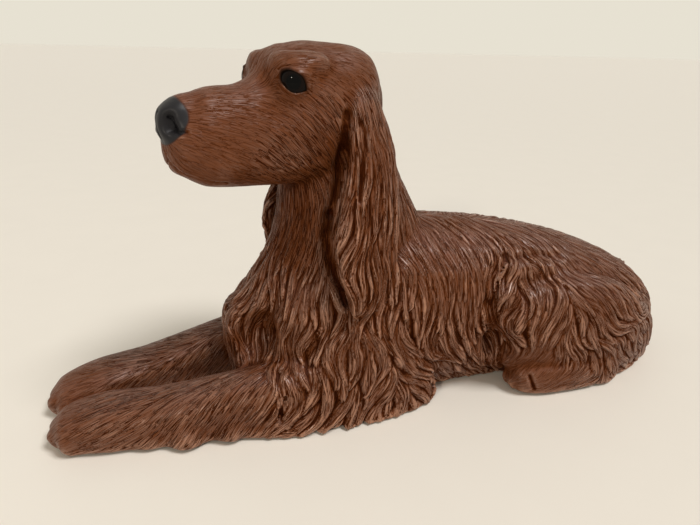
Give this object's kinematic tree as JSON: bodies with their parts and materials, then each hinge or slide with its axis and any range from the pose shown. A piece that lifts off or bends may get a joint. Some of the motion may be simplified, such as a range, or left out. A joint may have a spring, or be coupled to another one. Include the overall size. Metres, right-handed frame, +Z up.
{
  "type": "dog figurine",
  "caption": "Reclining long-coated gundog figurine in painted cast resin, forelegs stretched forward, head raised and turned, glass eyes, felted flat base to stand on a shelf.",
  "frame": {"origin": "on the surface that the figurine stands on, under the middle of its box", "axes": "+X along the body towards the head and forepaws, +Y to the dog's left, +Z up"},
  "size_m": [0.3546, 0.1198, 0.17],
  "materials": {
    "coat": "satin",
    "eye_glass": "polished",
    "eye_iris": "satin",
    "base_board": "matte",
    "base_felt": "matte"
  },
  "bodies": {
    "root": {"trunk_casting": "coat", "head_casting": "coat", "tail_casting": "coat", "left_ear_casting": "coat", "right_ear_casting": "coat", "left_foreleg_casting": "coat", "right_foreleg_casting": "coat", "left_hindquarter_casting": "coat", "right_hindquarter_casting": "coat", "left_eye_glass": "eye_glass", "right_eye_glass": "eye_glass", "left_eye_iris": "eye_iris", "right_eye_iris": "eye_iris", "base_board": "base_board", "base_felt": "base_felt"}
  },
  "joints": []
}
